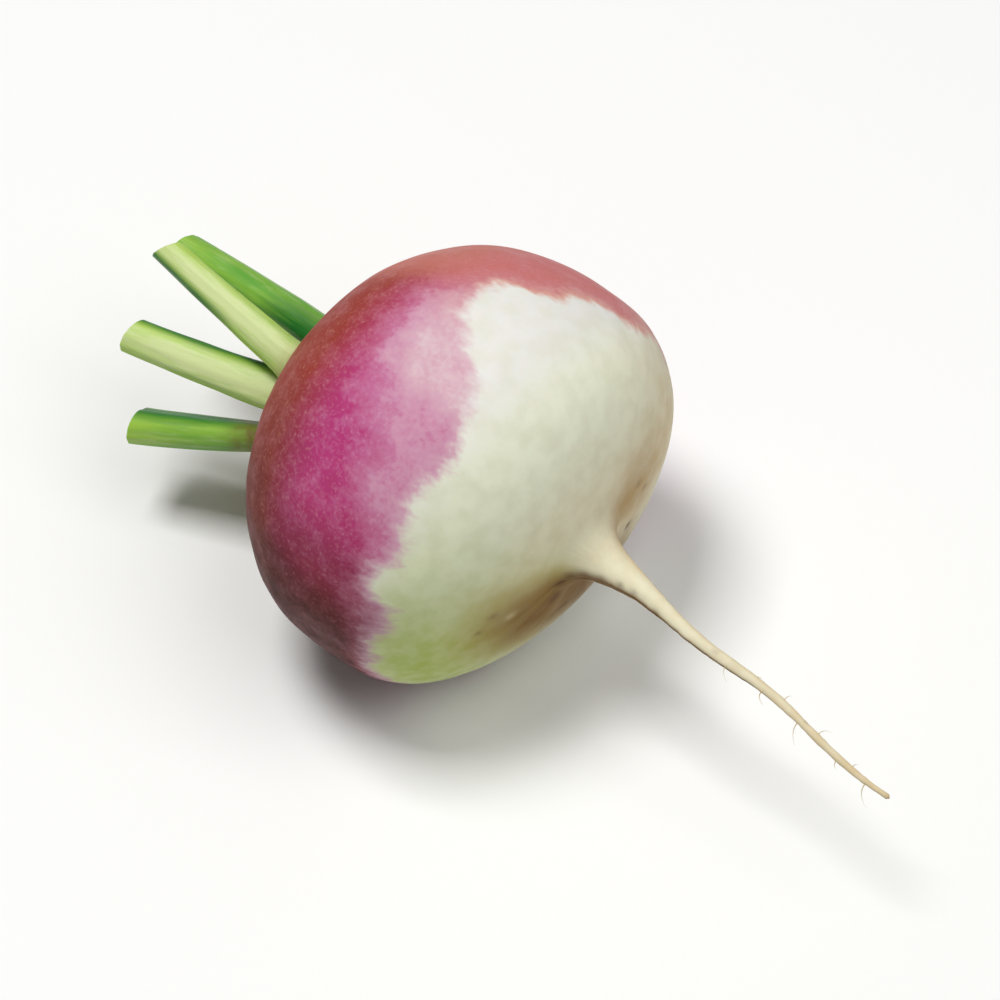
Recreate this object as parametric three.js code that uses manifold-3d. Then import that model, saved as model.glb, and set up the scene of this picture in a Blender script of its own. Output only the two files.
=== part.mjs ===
// A two-coloured turnip as picked, with its leaves cut back to four stalks.
// Millimetres, +Z up. It lies on its side with its axis along X: crown at -X, taproot at +X.
// The origin is the middle of the small flat spot that it rests on, under the bulb's widest circle.

import * as THREE from 'three';
import { mergeVertices } from 'three/addons/utils/BufferGeometryUtils.js';
import Module from 'manifold-3d';

const wasm = await Module();
wasm.setup();

// Driving dimensions of the bulb
const BULB_RADIUS = 37.5;
const CROWN_DEPTH = 31.8;
const CROWN_FULLNESS = 2.17;
const SHOULDER_DEPTH = 25.4;
const SHOULDER_FULLNESS = 3;
const LOBE_DEPTH = 0.006;
const LOBE_FADE_START = 0.7 * SHOULDER_DEPTH;
const LOBES = [
  { count: 2, weight: 1, phase: 5.3 },
  { count: 3, weight: 0.6, phase: 3.2 },
  { count: 5, weight: 0.35, phase: 0 },
];
const ROOT_END_LEAN = 0.06;
const LEAN_START = -1.2 * CROWN_DEPTH;
const LEAN_TOWARDS = new THREE.Vector2(0.88, 0.47);
const SPOT_DEPTH = 0.8;
const AXIS_HEIGHT = BULB_RADIUS - SPOT_DEPTH;

// Driving dimensions of the crown's leaf scars
const SCAR_RINGS = [12.5, 17];
const SCAR_HEIGHT = 0.55;
const SCAR_WIDTH = 1.5;
const SCARS_AROUND = 5;
const SCAR_ROW_TURN = 2.4;
const SCAR_START = 0.33 * CROWN_DEPTH;
const SCAR_FULL = 0.8 * CROWN_DEPTH;

// Driving dimensions of the taproot, from the shoulder to its thread-like tip
const TAPROOT_TIP = 88;
const TAPROOT_START_RADIUS = 1.25;
const TAPROOT_START = 30.5;
const TAPROOT_TAPER = 0.0135;
const THREAD_RADIUS = 0.45;
const NOSE_SWELL = 5;
const NOSE_START = 25;
const NOSE_LENGTH = 6.8;
const FILLET_SWELL = 3.5;
const FILLET_LENGTH = 1.2;
const NOSE_BLEND = 2.5;
const NOSE_SHIFT = new THREE.Vector2(0.75, 0.4);
const DROOP_AT_TIP = 10.6;
const DROOP_POWER = 1.25;
const WAVE_WIDTH = 0.5;
const WAVE_START = 0.3;
const WAVE_TURNS = 2;

// Driving dimensions of the leaf stalks: where each leaves the crown and where it is cut.
// base and end hold Y and Z from the axis, reach is how far the cut end stands off the crown,
// the widths and thicknesses are at the crown and at the cut, and slant says how much further
// the cut runs at one side of the stalk, across it and through it.
const STALKS = [
  {
    base: [-5.6, 6.1], end: [-3.1, 9.4], reach: 32.2,
    widths: [7.6, 5.0], thick: [5.8, 4.3], slant: [-0.06, 0],
  },
  {
    base: [4.0, 1.1], end: [4.3, -1.2], reach: 35.8,
    widths: [8.2, 6.8], thick: [7.6, 6.2], slant: [0, 0.04],
  },
  {
    base: [-5.0, -1.1], end: [-13.8, -2.9], reach: 30.6,
    widths: [6.6, 6.8], thick: [9.2, 6.7], slant: [0, -0.05],
  },
  {
    base: [-7.7, -8.9], end: [-20.5, -16.7], reach: 24.9,
    widths: [6.0, 7.9], thick: [4.3, 7.0], slant: [0, -0.05],
  },
];
const STALK_ROOTING = 3;
const STALK_BEND = 0.35;
const STALK_TAPER_POWER = 0.7;
const INNER_FLATNESS = 0.9;
const GROOVE_WIDTH = 0.2;
const STALK_STEPS = 11;
const STALK_SIDES = 16;
const GROOVE_DEPTH = 0.12;

// Driving dimensions of the youngest leaves' trimmed bases: Y, Z from the axis, height and radius
const HEART_BASES = [
  [0.4, -2.9, 5.5, 2.6],
  [-0.7, 0.9, 7.5, 2.4],
  [3.4, -4.7, 4.2, 2.3],
  [0.6, -6.2, 3.4, 2.1],
  [-0.6, 4.5, 2.2, 2.0],
];
const HEART_TAPER = 0.72;
const HEART_SIDES = 10;

// Neighbours keep this gap
const GAP = 0.3;

// Fineness of the faceting
const AROUND = 44;
const CROWN_RINGS = 19;
const CROWN_CROWDING = 0.85;
const SHOULDER_RINGS = 14;
const TAPROOT_RINGS = 17;
const TAPROOT_CROWDING = 1.35;

// Colours and roughness, and where the crown's colour gives way to the root's
const CROWN_COLOUR = '#b3487f';
const SHADE_COLOUR = '#963f45';
const ROOT_COLOUR = '#e4e2c6';
const STALK_COLOURS = ['#b9cf7c', '#5f9a35', '#a9c970', '#6f9f45'];
const HEART_COLOUR = '#c3cf76';
const ROOT_ROUGHNESS = 0.42;
const STALK_ROUGHNESS = 0.5;
const HEART_ROUGHNESS = 0.55;
const COLOUR_EDGE = 11;
const COLOUR_FADE = 3;
const SHADE_START = 8;
const RAGGED_WAVES = [
  { count: 3, width: 1.6, phase: 1 },
  { count: 8, width: 1.1, phase: 0 },
];
const TONGUE_ANGLE = 1.3;
const TONGUE_SPREAD = 0.36;
const TONGUE_REACH = 14;

const ROUND_TURN = 2 * Math.PI;

// Smooth step from 0 at low to 1 at high
function ramp(value, low, high) {
  return THREE.MathUtils.smoothstep(value, low, high);
}

// Radius of the bulb alone at a place along the axis
function bulbRadius(x) {
  if (x < 0) {
    const filled = Math.pow(Math.min(-x / CROWN_DEPTH, 1), CROWN_FULLNESS);
    return BULB_RADIUS * Math.pow(1 - filled, 1 / CROWN_FULLNESS);
  }
  const filled = Math.pow(Math.min(x / SHOULDER_DEPTH, 1), SHOULDER_FULLNESS);
  return BULB_RADIUS * Math.sqrt(1 - filled);
}

// Radius of the taproot and of the nose that swells into it
function taprootRadius(x) {
  const tapered = TAPROOT_START_RADIUS - TAPROOT_TAPER * (x - TAPROOT_START);
  const past = Math.max(x - NOSE_START, 0);
  const nose = NOSE_SWELL * Math.exp(-past / NOSE_LENGTH);
  const fillet = FILLET_SWELL * Math.exp(-past / FILLET_LENGTH);
  const emerging = ramp(x, SHOULDER_DEPTH / 2, SHOULDER_DEPTH);
  return (Math.max(tapered, THREAD_RADIUS) + nose + fillet) * emerging;
}

// Radius of the whole root, with the bulb running smoothly into the nose
function rootRadius(x) {
  const summed = Math.pow(bulbRadius(x), NOSE_BLEND) + Math.pow(taprootRadius(x), NOSE_BLEND);
  return Math.pow(summed, 1 / NOSE_BLEND);
}

// Places along the axis of the rings of the root's profile, from the crown to the tip
function ringPlaces() {
  const places = [];
  for (let i = 1; i <= CROWN_RINGS; i += 1) {
    const turn = Math.pow(1 - i / CROWN_RINGS, CROWN_CROWDING) * Math.PI / 2;
    places.push(-CROWN_DEPTH * Math.sin(turn));
  }
  for (let i = 1; i <= SHOULDER_RINGS; i += 1) {
    places.push(SHOULDER_DEPTH * Math.sin(i / SHOULDER_RINGS * Math.PI / 2));
  }
  for (let i = 1; i <= TAPROOT_RINGS; i += 1) {
    const along = Math.pow(i / TAPROOT_RINGS, TAPROOT_CROWDING);
    places.push(SHOULDER_DEPTH + (TAPROOT_TIP - SHOULDER_DEPTH) * along);
  }
  return places;
}

// Profile in the plane of radius and axis, closed on the axis at both ends and grown outwards
function rootProfile(grow) {
  const points = [new THREE.Vector2(0, -CROWN_DEPTH - grow)];
  for (const x of ringPlaces()) {
    const crownGrow = grow * ramp(-x, CROWN_DEPTH / 2, CROWN_DEPTH);
    points.push(new THREE.Vector2(rootRadius(x) + grow, x - crownGrow));
  }
  points.push(new THREE.Vector2(0, TAPROOT_TIP + THREAD_RADIUS + grow));
  return points;
}

// Gentle lobes round the bulb, none on the taproot
function lobeFactor(x, angle) {
  const onBulb = 1 - ramp(x, LOBE_FADE_START, SHOULDER_DEPTH);
  let wave = 0;
  for (const { count, weight, phase } of LOBES) {
    wave += weight * Math.sin(count * angle + phase);
  }
  return 1 + LOBE_DEPTH * onBulb * wave;
}

// Height of the old leaf scars that ring the crown as low crescents
function scarHeight(radius, angle) {
  let height = 0;
  SCAR_RINGS.forEach((ring, row) => {
    const across = Math.exp(-Math.pow((radius - ring) / SCAR_WIDTH, 2));
    const along = 0.5 + 0.5 * Math.cos(SCARS_AROUND * angle + SCAR_ROW_TURN * row);
    height += SCAR_HEIGHT * across * along / (1 + row);
  });
  return height;
}

// How far the root's centre line stands from the straight axis, as Y and Z
function centreShift(x) {
  const nose = ramp(x, SHOULDER_DEPTH / 2, TAPROOT_START);
  const past = Math.max(0, x - SHOULDER_DEPTH) / (TAPROOT_TIP - SHOULDER_DEPTH);
  const wave = WAVE_WIDTH * ramp(past, 0, WAVE_START) * Math.sin(past * WAVE_TURNS * ROUND_TURN);
  return new THREE.Vector2(
    NOSE_SHIFT.x * nose + wave,
    NOSE_SHIFT.y * nose - DROOP_AT_TIP * Math.pow(past, DROOP_POWER),
  );
}

// Turns the lathed root onto its side and gives each point its lobe, scar, lean and droop
function shapeRoot(geometry) {
  geometry.rotateZ(-Math.PI / 2);
  const place = geometry.attributes.position;
  for (let i = 0; i < place.count; i += 1) {
    let x = place.getX(i);
    const angle = Math.atan2(place.getZ(i), place.getY(i));
    const radius = Math.hypot(place.getY(i), place.getZ(i)) * lobeFactor(x, angle);
    const shift = centreShift(x);
    const y = radius * Math.cos(angle);
    const z = radius * Math.sin(angle);
    x -= scarHeight(radius, angle) * ramp(-x, SCAR_START, SCAR_FULL);
    const leaning = LEAN_TOWARDS.x * y + LEAN_TOWARDS.y * z;
    x += ROOT_END_LEAN * leaning * ramp(x, LEAN_START, SHOULDER_DEPTH / 2);
    place.setXYZ(i, x, y + shift.x, z + shift.y + AXIS_HEIGHT);
  }
  return geometry;
}

// Merged, closed solid of a geometry, ready to be joined or cut
function toSolid(geometry) {
  const bare = geometry.clone();
  bare.deleteAttribute('normal');
  bare.deleteAttribute('uv');
  const merged = mergeVertices(bare, 0.001);
  const corners = merged.index.array;
  const triangles = [];
  for (let i = 0; i < corners.length; i += 3) {
    const [a, b, c] = corners.slice(i, i + 3);
    if (a !== b && b !== c && c !== a) {
      triangles.push(a, b, c);
    }
  }
  return new wasm.Manifold(new wasm.Mesh({
    numProp: 3,
    vertProperties: new Float32Array(merged.attributes.position.array),
    triVerts: new Uint32Array(triangles),
  }));
}

// Geometry of a solid, with normals for shading
function toGeometry(solid) {
  const cut = solid.getMesh();
  const geometry = new THREE.BufferGeometry();
  geometry.setAttribute('position', new THREE.BufferAttribute(new Float32Array(cut.vertProperties), 3));
  geometry.setIndex(new THREE.BufferAttribute(new Uint32Array(cut.triVerts), 1));
  geometry.computeVertexNormals();
  return geometry;
}

// The bulb, crown and taproot as one solid, grown outwards where it is used to cut its neighbours
function rootSolid(grow) {
  const lathed = new THREE.LatheGeometry(rootProfile(grow), AROUND);
  return toSolid(shapeRoot(lathed));
}

// The block of ground that takes the flat resting spot off the bulb's underside
function groundBlock() {
  const side = 2 * BULB_RADIUS;
  const block = new THREE.BoxGeometry(side, side, side / 2);
  block.translate(0, 0, -side / 4);
  return toSolid(block);
}

// Colours each point of the root by its place: crown colour, ragged edge, root colour
function paintRoot(geometry) {
  const crown = new THREE.Color(CROWN_COLOUR);
  const shade = new THREE.Color(SHADE_COLOUR);
  const root = new THREE.Color(ROOT_COLOUR);
  const place = geometry.attributes.position;
  const colours = new Float32Array(place.count * 3);
  for (let i = 0; i < place.count; i += 1) {
    const angle = Math.atan2(place.getZ(i) - AXIS_HEIGHT, place.getY(i));
    const tongue = TONGUE_REACH * Math.exp(-Math.pow((angle - TONGUE_ANGLE) / TONGUE_SPREAD, 2));
    let edge = COLOUR_EDGE - tongue;
    for (const { count, width, phase } of RAGGED_WAVES) {
      edge += width * Math.sin(count * angle + phase);
    }
    const mixed = crown.clone().lerp(shade, ramp(-place.getX(i), SHADE_START, CROWN_DEPTH));
    mixed.lerp(root, ramp(place.getX(i), edge - COLOUR_FADE, edge + COLOUR_FADE));
    mixed.toArray(colours, i * 3);
  }
  geometry.setAttribute('color', new THREE.BufferAttribute(colours, 3));
}

// Section of a stalk, one unit wide and thick: round back, shallow groove on the inner side
function stalkSection() {
  const points = [];
  for (let i = 0; i < STALK_SIDES; i += 1) {
    const angle = i / STALK_SIDES * ROUND_TURN;
    const across = Math.cos(angle) / 2;
    const groove = GROOVE_DEPTH * Math.exp(-Math.pow(across / GROOVE_WIDTH, 2));
    const deep = Math.sin(angle) / 2 * (Math.sin(angle) > 0 ? INNER_FLATNESS - groove : 1);
    points.push(new THREE.Vector2(across, deep));
  }
  return new THREE.Shape(points);
}

// Smooth line of a stalk from inside the crown to its cut end
function stalkPath(stalk) {
  const axis = new THREE.Vector3(0, 0, AXIS_HEIGHT);
  const start = new THREE.Vector3(STALK_ROOTING - CROWN_DEPTH, ...stalk.base).add(axis);
  const end = new THREE.Vector3(-CROWN_DEPTH - stalk.reach, ...stalk.end).add(axis);
  const middle = start.clone().lerp(end, STALK_BEND);
  const outwards = new THREE.Vector3(0, ...stalk.base).setLength(1);
  middle.add(outwards);
  return new THREE.QuadraticBezierCurve3(start, middle, end);
}

// A stalk: its section is drawn out straight, then laid along the path and tapered on the way
function stalkSolid(stalk, grow) {
  const geometry = new THREE.ExtrudeGeometry(stalkSection(), {
    depth: 1,
    steps: STALK_STEPS,
    bevelEnabled: false,
  });
  const path = stalkPath(stalk);
  const inwards = new THREE.Vector3(0, -stalk.base[0], -stalk.base[1]).normalize();
  const [slantAcross, slantThrough] = stalk.slant;
  const longest = 1 + (Math.abs(slantAcross) + Math.abs(slantThrough)) / 2;
  const place = geometry.attributes.position;
  for (let i = 0; i < place.count; i += 1) {
    const across = place.getX(i);
    const deep = place.getY(i);
    const along = place.getZ(i) * (1 + slantAcross * across + slantThrough * deep) / longest;
    const point = path.getPoint(along);
    const forward = path.getTangent(along);
    const sideways = new THREE.Vector3().crossVectors(inwards, forward).normalize();
    const inner = new THREE.Vector3().crossVectors(forward, sideways);
    const taper = Math.pow(place.getZ(i), STALK_TAPER_POWER);
    const width = THREE.MathUtils.lerp(stalk.widths[0], stalk.widths[1], taper) + 2 * grow;
    const thick = THREE.MathUtils.lerp(stalk.thick[0], stalk.thick[1], taper) + 2 * grow;
    point.addScaledVector(sideways, across * width);
    point.addScaledVector(inner, deep * thick);
    place.setXYZ(i, point.x, point.y, point.z);
  }
  return toSolid(geometry);
}

// The trimmed bases of the youngest leaves, fused into one low cluster
function heartSolid() {
  let cluster = null;
  for (const [y, z, height, radius] of HEART_BASES) {
    const length = height + STALK_ROOTING;
    const stub = new THREE.CylinderGeometry(radius * HEART_TAPER, radius, length, HEART_SIDES);
    stub.rotateZ(Math.PI / 2);
    stub.translate(STALK_ROOTING - CROWN_DEPTH - length / 2, y, z + AXIS_HEIGHT);
    const solid = toSolid(stub);
    cluster = cluster ? cluster.add(solid) : solid;
  }
  return cluster;
}

// One named mesh in its own material
function addMesh(group, name, solid, colour, roughness) {
  const material = new THREE.MeshStandardMaterial({ color: colour, roughness, metalness: 0 });
  const mesh = new THREE.Mesh(toGeometry(solid), material);
  mesh.name = name;
  group.add(mesh);
  return mesh;
}

const turnip = new THREE.Group();

const bulb = rootSolid(0).subtract(groundBlock());
const root = addMesh(turnip, 'swollen_root', bulb, '#ffffff', ROOT_ROUGHNESS);
paintRoot(root.geometry);
root.material.vertexColors = true;

const grownRoot = rootSolid(GAP);
let heart = heartSolid().subtract(grownRoot);
STALKS.forEach((stalk, number) => {
  const solid = stalkSolid(stalk, 0).subtract(grownRoot);
  addMesh(turnip, `leaf_stalk_${number + 1}`, solid, STALK_COLOURS[number], STALK_ROUGHNESS);
  heart = heart.subtract(stalkSolid(stalk, GAP));
});
addMesh(turnip, 'heart_stub', heart, HEART_COLOUR, HEART_ROUGHNESS);

export default turnip;
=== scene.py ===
"""Dresses a two-coloured turnip that lies on its side, with its leaves cut back to four stalks."""

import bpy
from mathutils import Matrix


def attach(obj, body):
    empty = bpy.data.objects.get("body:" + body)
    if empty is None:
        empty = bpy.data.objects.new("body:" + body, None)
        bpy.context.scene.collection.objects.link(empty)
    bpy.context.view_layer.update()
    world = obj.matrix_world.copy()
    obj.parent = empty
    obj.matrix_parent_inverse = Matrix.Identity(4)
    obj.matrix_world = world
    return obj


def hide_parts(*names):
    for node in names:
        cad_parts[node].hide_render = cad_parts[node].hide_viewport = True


bl_info = {
    "name": "Turnip with cut stalks",
    "version": (1, 0, 0),
    "blender": (4, 5, 0),
    "location": "3D View > Sidebar > Turnip",
    "description": "Makes a turnip's skin, cut stalks, heart leaves and rootlets, and its stage",
    "category": "Object",
}

import math
import random

import bmesh
import bpy
from mathutils import Matrix, Vector, noise

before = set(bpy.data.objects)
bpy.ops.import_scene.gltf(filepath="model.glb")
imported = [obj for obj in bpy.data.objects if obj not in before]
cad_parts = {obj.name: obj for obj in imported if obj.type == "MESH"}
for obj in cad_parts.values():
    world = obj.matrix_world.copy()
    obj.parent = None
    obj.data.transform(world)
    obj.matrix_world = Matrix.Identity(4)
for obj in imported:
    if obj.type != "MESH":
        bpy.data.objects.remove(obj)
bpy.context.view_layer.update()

MM = 0.001
ROUND_TURN = 2 * math.pi

# The colour edge between crown and root, walked once round the bulb.
# Each row is a heading in degrees from the side that faces the camera, then three lengths in
# millimetres: where the last blush ends along the axis, where the full crown colour gives way,
# and how far to each side of that it fades. Past heading 115 no picture shows it.
COLOUR_EDGE = [
    (-90, 11.0, 8.0, 2.0), (-84, 11.5, 8.5, 2.0), (-76, 10.8, 8.0, 2.0), (-72, 11.5, 8.0, 2.5),
    (-68, 11.8, 8.5, 2.5), (-64, 12.3, 9.5, 2.5), (-60, 12.8, 9.8, 2.5), (-56, 13.8, 9.5, 2.5),
    (-52, 14.0, 9.0, 3.0), (-48, 13.8, 9.0, 3.0), (-44, 11.8, 9.2, 2.0), (-40, 10.2, 8.2, 2.0),
    (-36, 10.9, 8.0, 2.5), (-32, 13.0, 9.0, 3.0), (-28, 13.2, 8.2, 4.0), (-24, 12.2, 5.5, 4.5),
    (-20, 11.2, 3.5, 5.0), (-16, 11.0, 1.5, 6.0), (-12, 11.2, 3.0, 6.0), (-8, 11.2, 2.0, 6.5),
    (-4, 11.8, -0.5, 7.0), (0, 11.8, -5.0, 8.0), (4, 11.3, -5.0, 8.5), (8, 10.3, -6.7, 8.0),
    (12, 9.3, -8.2, 6.0), (16, 8.8, -8.8, 5.5), (20, 7.8, -9.8, 5.5), (24, 2.0, -9.8, 5.5),
    (28, 0.0, -9.5, 6.0), (32, -2.8, -11.0, 7.0), (36, -4.0, -9.0, 6.0), (40, -4.6, -10.0, 6.0),
    (44, -3.8, -8.0, 3.5), (48, -2.8, -7.0, 3.0), (52, 3.0, -4.0, 4.0), (56, 4.0, 1.0, 2.0),
    (60, 4.0, 1.5, 2.0), (64, 6.5, 0.8, 2.5), (68, 8.8, 3.0, 4.0), (72, 10.5, 5.5, 4.5),
    (76, 12.3, 6.0, 5.0), (84, 12.2, 5.0, 5.0), (88, 12.3, 7.0, 5.0), (92, 13.0, 8.0, 5.0),
    (98, 13.4, 9.0, 5.0), (106, 12.0, 6.0, 4.0), (115, 13.0, 9.0, 3.0), (124, 8.0, 2.0, 4.0),
    (131, 9.5, -2.0, 6.0), (139, 4.0, -6.0, 6.0), (147, 7.0, 2.0, 4.0), (154, 11.5, 8.0, 2.5),
    (162, 13.0, 9.0, 3.0), (170, 10.0, 7.0, 2.0), (177, 12.0, 6.0, 4.0), (186, 8.5, -1.0, 6.0),
    (194, 5.0, -7.0, 7.0), (203, 9.0, 1.0, 5.0), (211, 13.5, 9.0, 3.0), (218, 11.0, 8.5, 2.0),
    (226, 13.0, 8.0, 3.0), (234, 9.0, 4.0, 4.0), (243, 7.5, 1.0, 5.0), (252, 11.5, 7.5, 2.5),
    (261, 12.5, 9.0, 2.5), (270, 11.0, 8.0, 2.0),
]

# Marks in the skin: place along the axis, heading, size, how brown (or pale, below 0), and how
# far the skin stands up there, in millimetres and degrees
SKIN_MARKS = [
    (24.7, 147, 0.9, 0.95, -0.35), (24.9, 132, 0.8, -0.4, 0.3), (24.2, 118, 0.7, 0.4, -0.1),
    (24.6, 104, 0.8, 0.3, -0.1), (27.2, -70, 1.3, 0.6, -0.12), (26.0, -86, 1.1, 0.95, -0.3),
    (25.2, -112, 1.2, 0.8, -0.25), (24.4, -140, 1.0, 0.7, -0.2), (23.2, -168, 0.9, 0.5, -0.15),
    (28.8, -60, 0.9, 0.4, -0.08), (31.5, -52, 0.8, 0.3, -0.05), (34.5, -40, 0.6, 0.45, -0.1),
    (37.0, -36, 0.6, 0.3, -0.08), (41.5, -52, 0.6, 0.35, -0.08), (46.0, -66, 0.6, 0.3, -0.06),
    (53.0, 20, 0.5, 0.25, -0.06), (60.0, -80, 0.6, 0.3, -0.06), (71.0, 60, 0.5, 0.25, -0.05),
    (24.1, -76, 1.0, -0.45, 0.25), (23.3, -66, 0.9, 0.45, -0.1), (22.4, -74, 0.7, 0.5, -0.1),
    (22.0, 190, 1.1, 0.6, -0.25), (17.0, 214, 0.8, -0.4, 0.2), (19.5, 160, 0.7, 0.5, -0.15),
    (6.0, 205, 0.9, 0.4, -0.2),
]

# The leaf stalks, as the solids have them: where each leaves the crown and where it is cut, as
# Y and Z from the root's axis, how far the cut stands off the crown, its width and thickness at
# the crown and at the cut, all in millimetres, and how much further the cut runs at one side.
# The pale face and the dark margin are at headings in degrees round the stalk from its right
# margin. The margin spreads dark_wide degrees to each side and darkens from the first run to the
# second, where 0 is the crown and 1 the cut, and earthy says how brown the base is.
STALKS = [
    {
        "name": "stalk_upper_pale", "node": "leaf_stalk_1", "base": (-5.6, 6.1), "end": (-3.1, 9.4),
        "reach": 32.2, "widths": (7.6, 5.0), "thick": (5.8, 4.3), "slant": (-0.06, 0),
        "pale_at": 288, "pale": 1.0, "dark_at": 222, "dark_wide": 30, "dark_run": (0.3, 0.75),
        "green": 0.15, "earthy": 0.2,
    },
    {
        "name": "stalk_upper_green", "node": "leaf_stalk_2", "base": (4.0, 1.1), "end": (4.3, -1.2),
        "reach": 35.8, "widths": (8.2, 6.8), "thick": (7.6, 6.2), "slant": (0, 0.04),
        # Its dark patch near the crown is painted shadow cast by the upper pale stalk
        "pale_at": 220, "pale": 0.15, "dark_at": 150, "dark_wide": 70, "dark_run": (0.75, 0.3),
        "green": 0.6, "earthy": 0.3,
    },
    {
        "name": "stalk_middle_pale", "node": "leaf_stalk_3", "base": (-5.0, -1.1),
        "end": (-13.8, -2.9), "reach": 30.6, "widths": (6.6, 6.8), "thick": (9.2, 6.7),
        "slant": (0, -0.05),
        "pale_at": 332, "pale": 0.95, "dark_at": 50, "dark_wide": 34, "dark_run": (-0.6, 0.4),
        "green": 0.2, "earthy": 0.2,
    },
    {
        "name": "stalk_lower_green", "node": "leaf_stalk_4", "base": (-7.7, -8.9),
        "end": (-20.5, -16.7), "reach": 24.9, "widths": (6.0, 7.9), "thick": (4.3, 7.0),
        "slant": (0, -0.05),
        "pale_at": 330, "pale": 0.15, "dark_at": 80, "dark_wide": 52, "dark_run": (0.1, 0.6),
        "green": 0.55, "earthy": 1.0,
    },
]

# The trimmed bases of the youngest leaves: Y and Z from the axis, height and half width
HEART_LEAVES = [
    (0.4, -2.9, 5.5, 2.6),
    (-0.7, 0.9, 7.5, 2.4),
    (3.4, -4.7, 4.2, 2.3),
    (0.6, -6.2, 3.4, 2.1),
    (-0.6, 4.5, 2.2, 2.0),
]


def linear(hex_colour):
    """Linear RGBA of an sRGB hex colour."""
    channels = [int(hex_colour[i:i + 2], 16) / 255 for i in (1, 3, 5)]
    bent = [c / 12.92 if c <= 0.04045 else ((c + 0.055) / 1.055) ** 2.4 for c in channels]
    return (*bent, 1.0)


def ramp(value, low, high):
    """Smooth step from 0 at low to 1 at high."""
    t = min(max((value - low) / (high - low), 0.0), 1.0)
    return t * t * (3 - 2 * t)


def bump_at(value, centre, spread):
    """Soft bump, 1 at the centre and near 0 past twice the spread."""
    return math.exp(-((value - centre) / spread) ** 2)


def colour_property(name, description, hex_colour):
    """A colour that the user can change."""
    return bpy.props.FloatVectorProperty(
        name=name, description=description, default=linear(hex_colour), size=4,
        subtype="COLOR", min=0, max=1,
    )


def length_property(name, description, millimetres):
    """A length that the user can change, given in millimetres and kept in metres."""
    return bpy.props.FloatProperty(
        name=name, description=description, default=millimetres * MM, unit="LENGTH", precision=5,
    )


def count_property(name, description, count):
    """A number of faces that the user can change."""
    return bpy.props.IntProperty(name=name, description=description, default=count, min=3)


def power_property(name, description, watts):
    """A light's power that the user can change."""
    return bpy.props.FloatProperty(
        name=name, description=description, default=watts, min=0, unit="POWER",
    )


class TurnipRootSettings(bpy.types.PropertyGroup):
    """Sizes of the swollen root."""

    bulb_radius: length_property("Bulb radius", "Radius of the bulb's widest circle", 37.5)
    crown_depth: length_property("Crown depth", "From the widest circle to the crown", 31.8)
    shoulder_depth: length_property("Shoulder depth", "From there to the root end", 25.4)
    axis_height: length_property("Axis height", "Height of the bulb's axis above the ground", 36.7)
    tip: length_property("Taproot tip", "From the widest circle to the taproot's tip", 88)
    relief: length_property("Skin relief", "Height of the soft dents in the skin", 0.35)
    around: count_property("Around", "Faces round the bulb", 256)
    crown_rows: count_property("Crown rows", "Rows of faces on the crown half", 120)
    shoulder_rows: count_property("Shoulder rows", "Rows of faces down to the root end", 80)
    taproot_rows: count_property("Taproot rows", "Rows of faces on the taproot", 110)


class TurnipSkinColours(bpy.types.PropertyGroup):
    """Colours of the root's skin."""

    magenta: colour_property("Magenta", "Full colour of the lit crown side", "#b43c78")
    pink: colour_property("Pink", "Half-faded crown colour", "#c27e9f")
    blush: colour_property("Blush", "Last trace of crown colour", "#cfa8b4")
    brick: colour_property("Brick red", "Crown colour near the stalks", "#983a33")
    salmon: colour_property("Salmon", "Crown colour along the top", "#ce7e73")
    # Maroon: partly the crown's own deep colour, partly painted shade on its lower side and far
    # limb
    maroon_and_painted_shade: colour_property("Maroon", "Crown colour on the shaded side", "#43150f")
    ivory: colour_property("Ivory", "Root side next to the colour edge", "#e1dfda")
    cream: colour_property("Cream", "Root side towards the taproot", "#eef0d8")
    # Green cast: partly the root's own green, partly painted shade low on the root side
    green: colour_property("Green cast", "Cast low on the root side", "#a6b65c")
    tan: colour_property("Tan", "Skin round the base of the taproot", "#c9a76e")
    # Brown cast: partly brown skin, partly painted shade under the base of the taproot
    brown_and_painted_shade: colour_property("Brown cast", "Skin under the base of the taproot", "#6f480e")
    scar: colour_property("Scar brown", "Scars and notches", "#5b3a1c")
    clouding: colour_property("Clouding", "Faint clouds on the root side", "#cfcdb0")
    warm_blush: colour_property("Warm blush", "Last trace of crown colour along the top", "#d7a58a")
    warm_pink: colour_property("Warm pink", "Half-faded crown colour along the top", "#c9807a")
    dusky_pink: colour_property("Dusky pink", "Dust on the brick red", "#b3655f")
    pink_fleck: colour_property("Pink fleck", "Flecks on the magenta", "#d795b4")
    tan_fleck: colour_property("Tan fleck", "Flecks on the brick red", "#cf9a72")
    cork: colour_property("Cork", "Healed scars", "#d9c69a")


class TurnipStalkColours(bpy.types.PropertyGroup):
    """Colours of the leaf stalks and the rootlets."""

    pale: colour_property("Pale face", "Bleached face of a stalk", "#cbd89a")
    lime: colour_property("Lime", "Yellow-green between face and margin", "#a4c64c")
    green: colour_property("Green", "Green of the stalk", "#5c9c3a")
    # Dark green margin, and also painted shadow at the foot of the upper green stalk
    dark_margin_and_painted_shadow: colour_property("Dark margin", "Dark green margin", "#1f6a28")
    base: colour_property("Base", "Pale base where the stalk leaves the crown", "#cdd58a")
    flesh: colour_property("Cut flesh", "Wet cut end", "#dfe8bd")
    bundle: colour_property("Bundle", "Strands in the cut end", "#8db357")
    pale_strand: colour_property("Pale strand", "Lightest of the strands", "#b9cc84")
    pith: colour_property("Pith", "Between the cells of the cut end", "#cfdc9f")
    dried: colour_property("Dried flesh", "Dry patches of the cut end", "#c4b274")
    soil: colour_property("Soil", "Stain at the foot of a stalk", "#6e4a2a")
    rootlet: colour_property("Rootlet", "Fresh skin of a rootlet", "#dccfa2")
    rootlet_brown: colour_property("Rootlet brown", "Dried skin of a rootlet", "#a58a56")


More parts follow.
